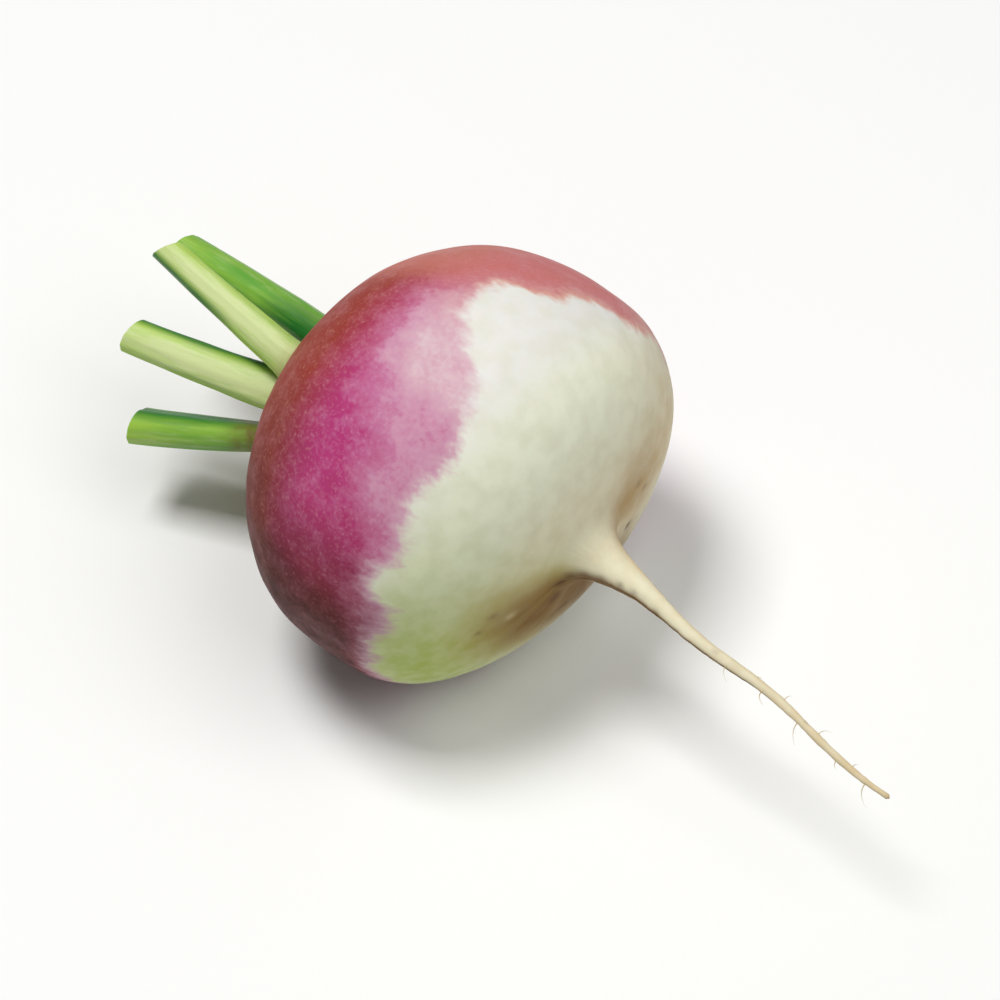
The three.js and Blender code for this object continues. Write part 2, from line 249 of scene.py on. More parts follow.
class TurnipStageSettings(bpy.types.PropertyGroup):
    """Camera and light."""

    elevation: bpy.props.FloatProperty(
        name="Elevation", description="Camera above the horizon", default=math.radians(54.8),
        subtype="ANGLE",
    )
    azimuth: bpy.props.FloatProperty(
        name="Azimuth", description="Camera round the turnip, 0 looks along +Y",
        default=math.radians(40.6), subtype="ANGLE",
    )
    distance: length_property("Distance", "From the camera to the middle of the view", 700)
    view_width: length_property("View width", "Width of the view at that distance", 164)
    floor: colour_property("Floor", "Plain pale floor", "#f5f5f3")
    key_power: power_property("Key", "Power of the overhead light", 12.1)
    fill_power: power_property("Fill", "Power of the camera-side light", 6.2)
    key_size: length_property("Key size", "Side of the overhead light", 400)
    fill_size: length_property("Fill size", "Side of the camera-side light", 900)
    surround: bpy.props.FloatProperty(
        name="Surround", description="Strength of the white surround", default=0.15, min=0,
    )


def settings(name):
    """One of the turnip's setting groups on the scene."""
    return getattr(bpy.context.scene, name)


def wire(tree, node, links):
    """Links each named input of a node to a socket, or gives it a value."""
    for key, value in links.items():
        if isinstance(value, bpy.types.NodeSocket):
            tree.links.new(value, node.inputs[key])
        else:
            node.inputs[key].default_value = value


def add(tree, kind, values=None, links=None, out=None):
    """Adds a node with its settings and its inputs.

    Gives its output of that name, or else the first output that is in use.
    """
    node = tree.nodes.new(kind)
    for key, value in (values or {}).items():
        setattr(node, key, value)
    wire(tree, node, links or {})
    if out:
        return node.outputs[out]
    return next((socket for socket in node.outputs if socket.enabled), None)


def new_material(name):
    """An empty node material, with its principled shader wired to the output."""
    material = bpy.data.materials.new(name)
    material.use_nodes = True
    tree = material.node_tree
    tree.nodes.clear()
    shader = tree.nodes.new("ShaderNodeBsdfPrincipled")
    add(tree, "ShaderNodeOutputMaterial", links={"Surface": shader.outputs["BSDF"]})
    return material, tree, shader


# Kinds of node that come up often
NOISE = "ShaderNodeTexNoise"
ATTRIBUTE = "ShaderNodeAttribute"
COORDINATES = "ShaderNodeTexCoord"
MATH = "ShaderNodeMath"
RANGE = "ShaderNodeMapRange"
MIX = "ShaderNodeMix"
BUMP = "ShaderNodeBump"

# Settings that many nodes share
COLOUR_MIX = {"data_type": "RGBA"}
SMOOTH = {"interpolation_type": "SMOOTHSTEP"}
TIMES = {"operation": "MULTIPLY"}
PLUS = {"operation": "ADD"}
TIMES_PLUS = {"operation": "MULTIPLY_ADD"}

# Measures of the root's skin that its shape works out and its material reads
ROOT_LAYERS = (
    "outer", "inner", "fade", "plateau", "redness", "salmon", "maroon_and_painted_shade", "cream", "green", "tan",
    "brown", "scar",
)


def turnip_skin():
    """Turnip skin, grown in soil: thin, taut and waxy, so it takes a broad soft gloss.

    Pigment lies in it as soft blots and short streaks that break up at the colour edge, with
    paler flecks on the crown side and a green, tan and brown cast on the root side. The green and
    brown casts are partly painted shade low on the root side, and maroon, partly painted shade,
    darkens the crown's lower side.
    """
    colours = settings("turnip_skin")
    material, tree, shader = new_material("turnip_skin_grown")
    place = add(tree, COORDINATES, out="Object")
    grain = add(tree, ATTRIBUTE, {"attribute_name": "grain"}, out="Vector")
    at = {
        name: add(tree, ATTRIBUTE, {"attribute_name": name}, out="Fac")
        for name in ROOT_LAYERS
    }

    # Blots 5 mm across, short streaks 2 mm apart and a fine fray 0.8 mm apart follow the axis.
    # Mottling 3.5 mm across, dust 0.9 mm, flecks 0.5 mm and a drift over 20 mm lie all ways.
    blots, streaks, fray, mottle, dust, flecks, drift = [
        add(tree, NOISE, links={"Vector": vector, "Scale": 1 / size, "Detail": detail})
        for vector, size, detail in (
            (grain, 5, 2.0), (grain, 2, 2.0), (grain, 0.8, 1.0), (place, 3.5 * MM, 3.0),
            (place, 0.9 * MM, 3.0), (place, 0.5 * MM, 0.0), (place, 20 * MM, 2.0),
        )
    ]

    # Pigment: a blush that ends at the outer edge, and the full colour that ends at the inner.
    # The noises move both edges by up to 2, 1.8 and 0.7 mm, and half of each reach centres them.
    moved = 0.0
    for texture, reach in ((blots, 4.0), (streaks, 3.6), (fray, 1.4)):
        centred = add(tree, MATH, TIMES_PLUS, {0: texture, 1: reach, 2: -reach / 2})
        moved = add(tree, MATH, PLUS, {0: moved, 1: centred})
    outer = add(tree, MATH, PLUS, {0: at["outer"], 1: moved})
    blushing = add(tree, RANGE, SMOOTH, {
        "Value": outer, "From Min": -2.4, "From Max": 2.4, "To Min": 1.0, "To Max": 0.0})
    inner = add(tree, MATH, PLUS, {0: at["inner"], 1: moved})
    ratio = add(tree, MATH, {"operation": "DIVIDE"}, {0: inner, 1: at["fade"]})
    filling = add(tree, RANGE, SMOOTH, {
        "Value": ratio, "From Min": -1.1, "From Max": 1.1, "To Min": 1.0, "To Max": at["plateau"]})
    pigment = add(tree, MATH, TIMES, {0: blushing, 1: filling})
    patchy = add(tree, RANGE, links={
        "Value": mottle, "From Min": 0.3, "From Max": 0.7, "To Min": 0.84, "To Max": 1.06})
    speckled = add(tree, RANGE, links={
        "Value": dust, "From Min": 0.35, "From Max": 0.68, "To Min": 1.04, "To Max": 0.86})
    thinned = add(tree, MATH, TIMES, {0: patchy, 1: speckled})
    depth = add(tree, MATH, {"operation": "MULTIPLY", "use_clamp": True}, {0: pigment, 1: thinned})

    # Root side: ivory turning cream towards the root, with the green, tan and brown casts; the
    # green and brown casts are partly painted shade low down
    drifted = add(tree, MATH, TIMES_PLUS, {0: drift, 1: 0.5, 2: -0.25})
    creamed = add(tree, MATH, {"operation": "ADD", "use_clamp": True}, {0: at["cream"], 1: drifted})
    creamy = add(tree, MIX, COLOUR_MIX, {0: creamed, 6: colours.ivory, 7: colours.cream})
    clouded = add(tree, RANGE, links={
        "Value": mottle, "From Min": 0.4, "From Max": 0.7, "To Min": 0.0, "To Max": 0.3})
    cast = add(tree, MIX, COLOUR_MIX, {0: clouded, 6: creamy, 7: colours.clouding})
    for name, tint, patch in (
        ("green", colours.green, mottle), ("tan", colours.tan, mottle),
        ("brown", colours.brown_and_painted_shade, blots),
    ):
        uneven = add(tree, RANGE, links={
            "Value": patch, "From Min": 0.3, "From Max": 0.65, "To Min": 0.82, "To Max": 1.0})
        share = add(tree, MATH, TIMES, {0: at[name], 1: uneven})
        cast = add(tree, MIX, COLOUR_MIX, {0: share, 6: cast, 7: tint})

    # Crown side: magenta turning brick red towards the stalks
    patched = add(tree, MATH, TIMES_PLUS, {0: mottle, 1: 0.36, 2: at["redness"]})
    reddened = add(tree, MATH, {"operation": "SUBTRACT", "use_clamp": True}, {0: patched, 1: 0.18})
    reds = add(tree, MIX, COLOUR_MIX, {0: reddened, 6: colours.magenta, 7: colours.brick})
    crown = add(tree, MIX, COLOUR_MIX, {0: at["salmon"], 6: reds, 7: colours.salmon})

    # The pigment's depth picks blush, then lilac pink, then the full crown colour, and maroon,
    # partly the crown's own deep colour and partly painted shade, darkens all three on the lower
    # side
    blush = add(tree, MIX, COLOUR_MIX, {0: at["salmon"], 6: colours.blush, 7: colours.warm_blush})
    dusky = add(tree, MIX, COLOUR_MIX, {0: reddened, 6: colours.pink, 7: colours.dusky_pink})
    pink = add(tree, MIX, COLOUR_MIX, {0: at["salmon"], 6: dusky, 7: colours.warm_pink})
    coloured = cast
    for tint, low, high in (
        (blush, 0.02, 0.3), (pink, 0.26, 0.6), (crown, 0.52, 0.95),
    ):
        share = add(tree, RANGE, links={"Value": depth, "From Min": low, "From Max": high})
        coloured = add(tree, MIX, COLOUR_MIX, {0: share, 6: coloured, 7: tint})
    # Painted shade: maroon darkens the pigment on the lower side and on the far limb
    maroon_and_painted_shade_share = add(tree, MATH, {"operation": "MULTIPLY", "use_clamp": True},
                   {0: at["maroon_and_painted_shade"], 1: depth})
    coloured = add(tree, MIX, COLOUR_MIX, {0: maroon_and_painted_shade_share, 6: coloured, 7: colours.maroon_and_painted_shade})

    # Pale flecks where there is pigment: pink on magenta, orange tan on brick red, few where the
    # maroon and painted shade lie
    fleck_tint = add(tree, MIX, COLOUR_MIX,
                     {0: reddened, 6: colours.pink_fleck, 7: colours.tan_fleck})
    fleck = add(tree, RANGE, links={
        "Value": flecks, "From Min": 0.56, "From Max": 0.8, "To Min": 0.0, "To Max": 0.4})
    dusted = add(tree, MATH, TIMES, {0: fleck, 1: dust})
    in_light = add(tree, MATH, TIMES_PLUS, {0: at["maroon_and_painted_shade"], 1: -0.7, 2: 1.0})
    shown = add(tree, MATH, TIMES, {0: dusted, 1: in_light})
    on_crown = add(tree, MATH, TIMES, {0: shown, 1: pigment})
    flecked = add(tree, MIX, COLOUR_MIX, {0: on_crown, 6: coloured, 7: fleck_tint})

    # Marks: brown where the value is above 0, pale cork where it is below
    scarred = add(tree, MATH, {"operation": "MAXIMUM"}, {0: at["scar"], 1: 0.0})
    corked = add(tree, MATH, {"operation": "MULTIPLY", "use_clamp": True}, {0: at["scar"], 1: -1.0})
    browned = add(tree, MIX, COLOUR_MIX, {0: scarred, 6: flecked, 7: colours.scar})
    finished = add(tree, MIX, COLOUR_MIX, {0: corked, 6: browned, 7: colours.cork})
    rough = add(tree, RANGE, links={
        "Value": mottle, "From Min": 0.3, "From Max": 0.7, "To Min": 0.44, "To Max": 0.58})
    pores = add(tree, BUMP, links={"Height": dust, "Strength": 0.3, "Distance": 0.12 * MM})
    ribbed = add(tree, BUMP, links={
        "Height": streaks, "Normal": pores, "Strength": 0.15, "Distance": 0.15 * MM})
    wire(tree, shader, {
        "Base Color": finished, "Roughness": rough, "Normal": ribbed,
        "IOR": 1.43, "Specular IOR Level": 0.1, "Subsurface Weight": 0.1,
        "Subsurface Radius": (1.0, 0.45, 0.3), "Subsurface Scale": 1.6 * MM,
    })
    return material


# Measures of a stalk's skin that its shape works out and its material reads
STALK_LAYERS = ("pale", "dark_margin_and_painted_shadow", "green", "base", "soiled")


def stalk_skin():
    """Leaf stalk skin, grown: fleshy and smooth over long fibres, so its gloss runs lengthwise.

    The face is bleached, the margins stay green, and the base is pale where soil kept light off.
    """
    colours = settings("turnip_stalks")
    material, tree, shader = new_material("leaf_stalk_skin_grown")
    fibre = add(tree, ATTRIBUTE, {"attribute_name": "fibre"}, out="Vector")
    place = add(tree, COORDINATES, out="Object")
    pale, dark_margin_and_painted_shadow, green, base, soiled = [
        add(tree, ATTRIBUTE, {"attribute_name": name}, out="Fac")
        for name in STALK_LAYERS
    ]

    # Fibres 0.6 mm apart and broad bands 2.5 mm apart, both drawn out along the stalk, and
    # mottling 2 mm across
    fibres = add(tree, NOISE, links={"Vector": fibre, "Scale": 1 / 0.6, "Detail": 3.0})
    bands = add(tree, NOISE, links={"Vector": fibre, "Scale": 1 / 2.5, "Detail": 3.0})
    mottle = add(tree, NOISE, links={"Vector": place, "Scale": 1 / (2 * MM), "Detail": 2.0})

    banded = add(tree, MATH, TIMES_PLUS, {0: bands, 1: 1.2, 2: green})
    to_green = add(tree, RANGE, links={"Value": banded, "From Min": 0.62, "From Max": 1.35})
    body = add(tree, MIX, COLOUR_MIX, {0: to_green, 6: colours.lime, 7: colours.green})
    paled = add(tree, MATH, TIMES_PLUS, {0: fibres, 1: 0.9, 2: pale})
    to_pale = add(tree, RANGE, links={"Value": paled, "From Min": 0.55, "From Max": 1.3})
    bleached = add(tree, MIX, COLOUR_MIX, {0: to_pale, 6: body, 7: colours.pale})
    # Dark margin; on the upper green stalk it is painted shadow, darker towards the crown
    edged = add(tree, MATH, TIMES_PLUS, {0: fibres, 1: 0.5, 2: dark_margin_and_painted_shadow})
    to_dark = add(tree, RANGE, links={"Value": edged, "From Min": 0.5, "From Max": 1.25})
    margined_and_painted_shadow = add(tree, MIX, COLOUR_MIX, {0: to_dark, 6: bleached, 7: colours.dark_margin_and_painted_shadow})
    based = add(tree, MIX, COLOUR_MIX, {0: base, 6: margined_and_painted_shadow, 7: colours.base})
    browned = add(tree, MATH, {"operation": "MULTIPLY", "use_clamp": True}, {0: mottle, 1: soiled})
    finished = add(tree, MIX, COLOUR_MIX, {0: browned, 6: based, 7: colours.soil})
    rough = add(tree, RANGE, links={
        "Value": bands, "From Min": 0.3, "From Max": 0.7, "To Min": 0.34, "To Max": 0.5})
    ridges = add(tree, BUMP, links={"Height": fibres, "Strength": 0.45, "Distance": 0.2 * MM})
    wire(tree, shader, {
        "Base Color": finished, "Roughness": rough, "Normal": ridges,
        "IOR": 1.42, "Specular IOR Level": 0.25, "Subsurface Weight": 0.15,
        "Subsurface Radius": (0.6, 1.0, 0.25), "Subsurface Scale": 1.2 * MM,
    })
    return material


def cut_flesh():
    """Stalk flesh, cut with a knife: wet and cellular, so it is pale and glints a little."""
    colours = settings("turnip_stalks")
    material, tree, shader = new_material("leaf_stalk_flesh_cut")
    place = add(tree, COORDINATES, out="Object")
    # Pith cells are about 0.2 mm: drawn 0.45 mm across so that they show
    cells = add(tree, "ShaderNodeTexVoronoi", links={"Vector": place, "Scale": 1 / (0.45 * MM)})
    # Wet and dry patches 1.5 mm across
    wet = add(tree, NOISE, links={"Vector": place, "Scale": 1 / (1.5 * MM), "Detail": 3.0})
    tint = add(tree, MIX, COLOUR_MIX, {0: cells, 6: colours.pith, 7: colours.flesh})
    dried = add(tree, RANGE, links={
        "Value": wet, "From Min": 0.5, "From Max": 0.75, "To Min": 0.0, "To Max": 0.5})
    browned = add(tree, MIX, COLOUR_MIX, {0: dried, 6: tint, 7: colours.dried})
    rough = add(tree, RANGE, links={
        "Value": wet, "From Min": 0.3, "From Max": 0.7, "To Min": 0.22, "To Max": 0.42})
    cellular = add(tree, BUMP, links={"Height": cells, "Strength": 0.5, "Distance": 0.15 * MM})
    wire(tree, shader, {"Base Color": browned, "Roughness": rough, "Normal": cellular, "IOR": 1.38})
    return material


def bundle_fibre():
    """Strands of a stalk, cut with a knife: stringy and greener than the pith round them."""
    colours = settings("turnip_stalks")
    material, tree, shader = new_material("leaf_stalk_strand_cut")
    place = add(tree, COORDINATES, out="Object")
    strands = add(tree, NOISE, links={"Vector": place, "Scale": 1 / (0.3 * MM)})
    tint = add(tree, MIX, COLOUR_MIX, {0: strands, 6: colours.bundle, 7: colours.pale_strand})
    wire(tree, shader, {"Base Color": tint, "Roughness": 0.45, "IOR": 1.42})
    return material


def rootlet_skin():
    """Rootlets, grown and dried: papery and dull, cream with brown patches."""
    colours = settings("turnip_stalks")
    material, tree, shader = new_material("rootlet_dried")
    place = add(tree, COORDINATES, out="Object")
    # Patches 2 mm across
    patches = add(tree, NOISE, links={"Vector": place, "Scale": 1 / (2 * MM), "Detail": 3.0})
    tint = add(tree, MIX, COLOUR_MIX, {0: patches, 6: colours.rootlet, 7: colours.rootlet_brown})
    wire(tree, shader, {"Base Color": tint, "Roughness": 0.75})
    return material


def floor_paint():
    """Studio board, painted matt: even and pale, with a trace of tooth."""
    stage = settings("turnip_stage")
    material, tree, shader = new_material("studio_board_painted")
    place = add(tree, COORDINATES, out="Object")
    tooth = add(tree, NOISE, links={"Vector": place, "Scale": 1 / (3 * MM)})
    grain = add(tree, BUMP, links={"Height": tooth, "Strength": 0.05, "Distance": 0.1 * MM})
    wire(tree, shader, {"Base Color": stage.floor, "Roughness": 0.9, "Normal": grain})
    return material


def finish_piece(bm, name, materials, nodes):
    """Turns a bmesh into a piece that rides on the turnip and stands for its solids."""
    mesh = bpy.data.meshes.new(name)
    bm.to_mesh(mesh)
    bm.free()
    piece = bpy.data.objects.new(name, mesh)
    bpy.context.scene.collection.objects.link(piece)
    for material in materials:
        mesh.materials.append(material)
    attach(piece, "root")
    if nodes:
        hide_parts(*nodes)
    return piece


def edge_at(heading):
    """Outer edge, inner edge and fade of the crown colour, in millimetres, at a heading."""
    for (low, *before), (high, *after) in zip(COLOUR_EDGE, COLOUR_EDGE[1:]):
        if heading <= high:
            t = ramp(heading, low, high)
            return [a + (b - a) * t for a, b in zip(before, after)]
    return COLOUR_EDGE[-1][1:]


class RootForm:
    """The swollen root's form, from the same named sizes as the solid, in millimetres."""

    CROWN_FULLNESS = 2.17
    SHOULDER_FULLNESS = 3
    TAPROOT_START = 30.5
    TAPROOT_START_RADIUS = 1.25
    TAPROOT_TAPER = 0.0135
    THREAD_RADIUS = 0.45
    NOSE_SWELL = 5
    NOSE_START = 25
    NOSE_LENGTH = 6.8
    FILLET_SWELL = 3.5
    FILLET_LENGTH = 1.2
    NOSE_BLEND = 2.5
    NOSE_SHIFT = (0.75, 0.4)
    DROOP_AT_TIP = 10.6
    DROOP_POWER = 1.25
    WAVE_WIDTH = 0.5
    WAVE_TURNS = 2
    LOBE_DEPTH = 0.006
    LOBES = [(2, 1, 5.3), (3, 0.6, 3.2), (5, 0.35, 0)]
    LEAN = 0.06
    LEAN_START = -1.2
    LEAN_TOWARDS = (0.88, 0.47)
    CAMERA_HEADING = 118.2

    def __init__(self, sizes):
        self.bulb = sizes.bulb_radius / MM
        self.crown = sizes.crown_depth / MM
        self.shoulder = sizes.shoulder_depth / MM
        self.height = sizes.axis_height / MM
        self.tip = sizes.tip / MM
        self.relief = sizes.relief / MM

    def radius(self, x):
        """Radius at a place along the axis, with the bulb running into the nose."""
        if x < 0:
            filled = min(-x / self.crown, 1) ** self.CROWN_FULLNESS
            return self.bulb * (1 - filled) ** (1 / self.CROWN_FULLNESS)
        filled = min(x / self.shoulder, 1) ** self.SHOULDER_FULLNESS
        bulb = self.bulb * math.sqrt(1 - filled)
        taper = self.TAPROOT_START_RADIUS - self.TAPROOT_TAPER * (x - self.TAPROOT_START)
        past = max(x - self.NOSE_START, 0)
        nose = self.NOSE_SWELL * math.exp(-past / self.NOSE_LENGTH)
        fillet = self.FILLET_SWELL * math.exp(-past / self.FILLET_LENGTH)
        emerging = ramp(x, self.shoulder / 2, self.shoulder)
        taproot = (max(taper, self.THREAD_RADIUS) + nose + fillet) * emerging
        return (bulb ** self.NOSE_BLEND + taproot ** self.NOSE_BLEND) ** (1 / self.NOSE_BLEND)

    def centre(self, x):
        """How far the centre line stands from the straight axis, as Y and Z."""
        nose = ramp(x, self.shoulder / 2, self.TAPROOT_START)
        past = max(0, x - self.shoulder) / (self.tip - self.shoulder)
        turn = past * self.WAVE_TURNS * ROUND_TURN
        wave = self.WAVE_WIDTH * ramp(past, 0, 0.3) * math.sin(turn)
        droop = self.DROOP_AT_TIP * past ** self.DROOP_POWER
        return self.NOSE_SHIFT[0] * nose + wave, self.NOSE_SHIFT[1] * nose - droop

    def lobes(self, x, angle):
        """Factor that swells the bulb in gentle lobes."""
        on_bulb = 1 - ramp(x, self.shoulder * 0.7, self.shoulder)
        wave = sum(weight * math.sin(count * angle + phase) for count, weight, phase in self.LOBES)
        return 1 + self.LOBE_DEPTH * on_bulb * wave

    def heading(self, angle):
        """Degrees round the bulb from the side that faces the camera, from -90 to 270."""
        return (self.CAMERA_HEADING - math.degrees(angle) + 90) % 360 - 90

    def spot(self, x, heading):
        """The point of the plain form at a place along the axis and a heading."""
        angle = math.radians(self.CAMERA_HEADING - heading)
        radius = self.radius(x)
        return Vector((x, radius * math.cos(angle), radius * math.sin(angle)))


def root_profile(bm, form, sizes):
    """Half outline of the root as a chain of edges, with its ends on the axis."""
    places = []
    for i in range(1, sizes.crown_rows + 1):
        places.append(-form.crown * math.sin((1 - i / sizes.crown_rows) * ROUND_TURN / 4))
    for i in range(1, sizes.shoulder_rows + 1):
        places.append(form.shoulder * math.sin(i / sizes.shoulder_rows * ROUND_TURN / 4))
    for i in range(1, sizes.taproot_rows + 1):
        along = (i / sizes.taproot_rows) ** 1.3
        places.append(form.shoulder + (form.tip - form.shoulder) * along)
    chain = [bm.verts.new((-form.crown, 0, 0))]
    for x in places:
        chain.append(bm.verts.new((x, form.radius(x), 0)))
    chain.append(bm.verts.new((form.tip + form.THREAD_RADIUS, 0, 0)))
    edges = [bm.edges.new(pair) for pair in zip(chain, chain[1:])]
    return chain + edges


def leaf_scars(radius, angle):
    """Height of the old leaf scars that ring the crown as low crescents, in millimetres."""
    height = 0
    for row, ring in enumerate((12.5, 17.0)):
        across = bump_at(radius, ring, 1.5)
        along = 0.5 + 0.5 * math.cos(5 * angle + 2.4 * row)
        height += 0.55 * across * along / (1 + row)
    return height


def stalk_collars(y, z):
    """How near a point is to the rim of skin round the foot of a leaf stalk, from 0 to 1."""
    rims = []
    for spec in STALKS:
        foot = (spec["widths"][0] + spec["thick"][0]) / 4
        gap = math.hypot(y - spec["base"][0], z - spec["base"][1]) - foot
        rims.append(bump_at(gap, 0, 1.4))
    return max(rims)


def apart(heading, other):
    """Degrees between two headings, the short way round."""
    return (heading - other + 180) % 360 - 180


def skin_marks(point, marks):
    """How brown the marks make a point, and how far they lift it."""
    brown = 0
    lift = 0
    for centre, size, tint, rise in marks:
        gap = (point - centre).length / size
        if gap < 3:
            near = math.exp(-gap * gap)
            brown += tint * near
            lift += rise * near
    return min(max(brown, -1), 1), lift


class TURNIP_OT_swollen_root(bpy.types.Operator):
    """Makes the bulb, crown and taproot as one skin"""

    bl_idname = "turnip.swollen_root"
    bl_label = "Swollen root"

    # What the colours lie round, in degrees from the side that faces the camera
    LOWER_RED = -75
    # The green cast with painted shade lies round the next one, low on the root side
    LOWER_GREEN_AND_PAINTED_SHADE = -82
    # Maroon with painted shade lies round the next two: the lower side and the far left limb
    MAROON_AND_PAINTED_SHADE_EDGE = -95
    FAR_LIMB_PAINTED_SHADE = -70
    # Brown with painted shade lies round the next one, under the base of the taproot
    BROWN_AND_PAINTED_SHADE_BELOW = -130
    TAN_BELOW = -122
    TAN_ABOVE = 108
    # A brown line runs along the taproot's lower edge round this heading
    BROWN_LOWER_LINE = -68

    # The grain's scale along the axis, as a share of that round it: its marks are drawn out
    GRAIN_ALONG = 0.7

    # Heights of what stands up from the skin, in millimetres
    COLLAR_HEIGHT = 0.7
    RIB_HEIGHT = 0.14
    PUCKER_HEIGHT = 0.22
    WRINKLE_HEIGHT = 0.07
    KNOB_HEIGHT = 0.16

    def execute(self, context):
        sizes = settings("turnip_root")
        form = RootForm(sizes)
        bm = bmesh.new()
        profile = root_profile(bm, form, sizes)
        bmesh.ops.spin(
            bm, geom=profile, cent=(0, 0, 0), axis=(1, 0, 0), angle=ROUND_TURN,
            steps=sizes.around, use_merge=True, use_duplicate=False,
        )
        bmesh.ops.remove_doubles(bm, verts=bm.verts, dist=0.0005)
        layers = {name: bm.verts.layers.float.new(name) for name in ROOT_LAYERS}
        grain = bm.verts.layers.float_vector.new("grain")
        marks = [(form.spot(x, heading), *rest) for x, heading, *rest in SKIN_MARKS]
        for vert in bm.verts:
            self.shape(vert, form, layers, grain, marks)
        bmesh.ops.recalc_face_normals(bm, faces=bm.faces)
        for face in bm.faces:
            face.smooth = True
        finish_piece(bm, "root_skin", [turnip_skin()], ["swollen_root"])
        return {"FINISHED"}

    def shape(self, vert, form, layers, grain, marks):
        """Gives a point its lobe, scar, dent, lean and droop, and its colour attributes."""
        x, y, z = vert.co
        angle = math.atan2(z, y)
        plain = math.hypot(y, z)
        heading = form.heading(angle)
        on_bulb = 1 - ramp(x, form.shoulder * 0.9, form.shoulder + 4)
        flow = Vector((x * self.GRAIN_ALONG, form.bulb * math.cos(angle),
                       form.bulb * math.sin(angle)))
        vert[grain] = flow
        self.paint(vert, form, layers, grain, x, plain, heading)
        brown, lift = skin_marks(vert.co, marks)
        on_crown = ramp(-x, form.crown / 3, form.crown * 0.8)
        scars = leaf_scars(plain, angle) * on_crown
        collar = stalk_collars(y, z) * on_crown
        vert[layers["scar"]] = min(brown + 0.4 * collar + 1.6 * scars * scars, 1)

        # Dents 13 mm apart, ribs 5 mm, puckers round the root end 3 mm, and on the taproot
        # wrinkles 0.8 mm and knobs 4 mm apart
        dents = form.relief * noise.noise(Vector((x, y, z)) / 13)
        ribs = self.RIB_HEIGHT * noise.noise(flow / 5) * ramp(plain, 0, form.bulb * 0.6)
        puckers = noise.noise(flow / 3) * bump_at(x, form.shoulder, 2.2)
        wrinkles = noise.noise(Vector((x / 0.8, y / 3, z / 3))) * (1 - on_bulb)
        knobs = noise.noise(Vector((x / 4, y / 2, z / 2 + 9))) * ramp(x, form.shoulder, 34)
        rough = (self.WRINKLE_HEIGHT * wrinkles + self.KNOB_HEIGHT * knobs
                 + self.PUCKER_HEIGHT * puckers)
        radius = plain * form.lobes(x, angle)
        radius += lift + (dents + ribs) * on_bulb + rough * ramp(plain, 0, 0.4)

        y = radius * math.cos(angle)
        z = radius * math.sin(angle)
        side, rise = form.centre(x)
        x -= scars + self.COLLAR_HEIGHT * collar
        leaning = form.LEAN_TOWARDS[0] * y + form.LEAN_TOWARDS[1] * z
        x += form.LEAN * leaning * ramp(x, form.LEAN_START * form.crown, form.shoulder / 2)
        vert.co = Vector((x, y + side, max(z + rise + form.height, 0))) * MM

    def paint(self, vert, form, layers, grain, x, radius, heading):
        """Colour attributes of a point, all worked out from where it lies on the root."""
        outer, inner, fade = edge_at(heading)
        vert[layers["outer"]] = min(max(x - outer, -30), 30)
        vert[layers["inner"]] = min(max(x - inner, -60), 60)
        vert[layers["fade"]] = fade
        vert[layers["plateau"]] = 0.55 - 0.24 * ramp(heading, 5, 12) * (1 - ramp(heading, 34, 44))
        stray = heading + 9 * noise.noise(vert[grain] / 8)
        top = ramp(stray, 25, 52) * (1 - ramp(stray, 86, 128)) * ramp(radius, 6, 26)
        vert[layers["salmon"]] = 0.7 * top
        low = bump_at(apart(heading, self.LOWER_RED), 0, 38)
        # Painted shade, with some of the crown's own deep colour: maroon on the lower side and on
        # the far left limb
        past = apart(stray, self.MAROON_AND_PAINTED_SHADE_EDGE)
        under = ramp(radius * math.cos(math.radians(past)), 12, 33) * ramp(past, -75, -10)
        far = radius * math.cos(math.radians(stray - self.FAR_LIMB_PAINTED_SHADE))
        far_limb_painted_shade = ramp(far, 10, 30) * ramp(-x, 4, 22)
        redness = ramp(-x, 6, 20) + 0.45 * top + 0.9 * low * ramp(-x, -18, -4)
        vert[layers["redness"]] = min(redness, 1)
        vert[layers["maroon_and_painted_shade"]] = 1 - (1 - under) * (1 - 0.5 * far_limb_painted_shade)
        vert[layers["cream"]] = ramp(x, 8, 19) + 0.6 * low
        # Green cast low on the root side: partly the root's own green, partly painted shade
        green_and_painted_shade_side = bump_at(apart(heading, self.LOWER_GREEN_AND_PAINTED_SHADE), 0, 50)
        vert[layers["green"]] = min(green_and_painted_shade_side * ramp(x, 6, 16), 1) * (1 - ramp(x, 25.5, 30))
        # Brown under the base of the taproot and on its underside: partly brown skin, partly
        # painted shade
        below = ramp(-abs(apart(heading, self.BROWN_AND_PAINTED_SHADE_BELOW)), -98, -42)
        above = bump_at(apart(heading, self.TAN_ABOVE), 0, 36)
        near_root = ramp(-radius, -27, -11) * ramp(x, 12, 18)
        painted_shade_near_root = ramp(-radius, -29, -14) * ramp(x, 11, 17)
        spread = ramp(-abs(apart(heading, self.TAN_BELOW)), -98, -46)
        spread *= ramp(-radius, -32, -18) * ramp(x, 11, 17)
        rim = above * ramp(x, 10, 18)
        thread = ramp(x, 45, 86)
        on_root = ramp(x, 25, 30)
        tan = (0.3 * near_root + 0.4 * spread) * (1 - on_root)
        tan += 0.6 * rim + 0.35 * on_root + 0.3 * thread
        vert[layers["tan"]] = min(tan, 1)
        base = 1 - ramp(x, 28, 31)
        # A brown line along the lower edge of the taproot
        lower_brown_line = 0.8 * bump_at(apart(heading, self.BROWN_LOWER_LINE), 0, 20)
        lower_brown_line *= ramp(x, 27, 31) * (1 - ramp(x, 58, 66))
        # Brown layer: brown skin with painted shade under the nose, plus the brown on the upper
        # limb and the lower line
        brown = (0.9 * below * painted_shade_near_root + 0.3 * above * near_root) * base
        brown += 0.35 * below * (1 - base) + lower_brown_line
        vert[layers["brown"]] = min(brown, 1)


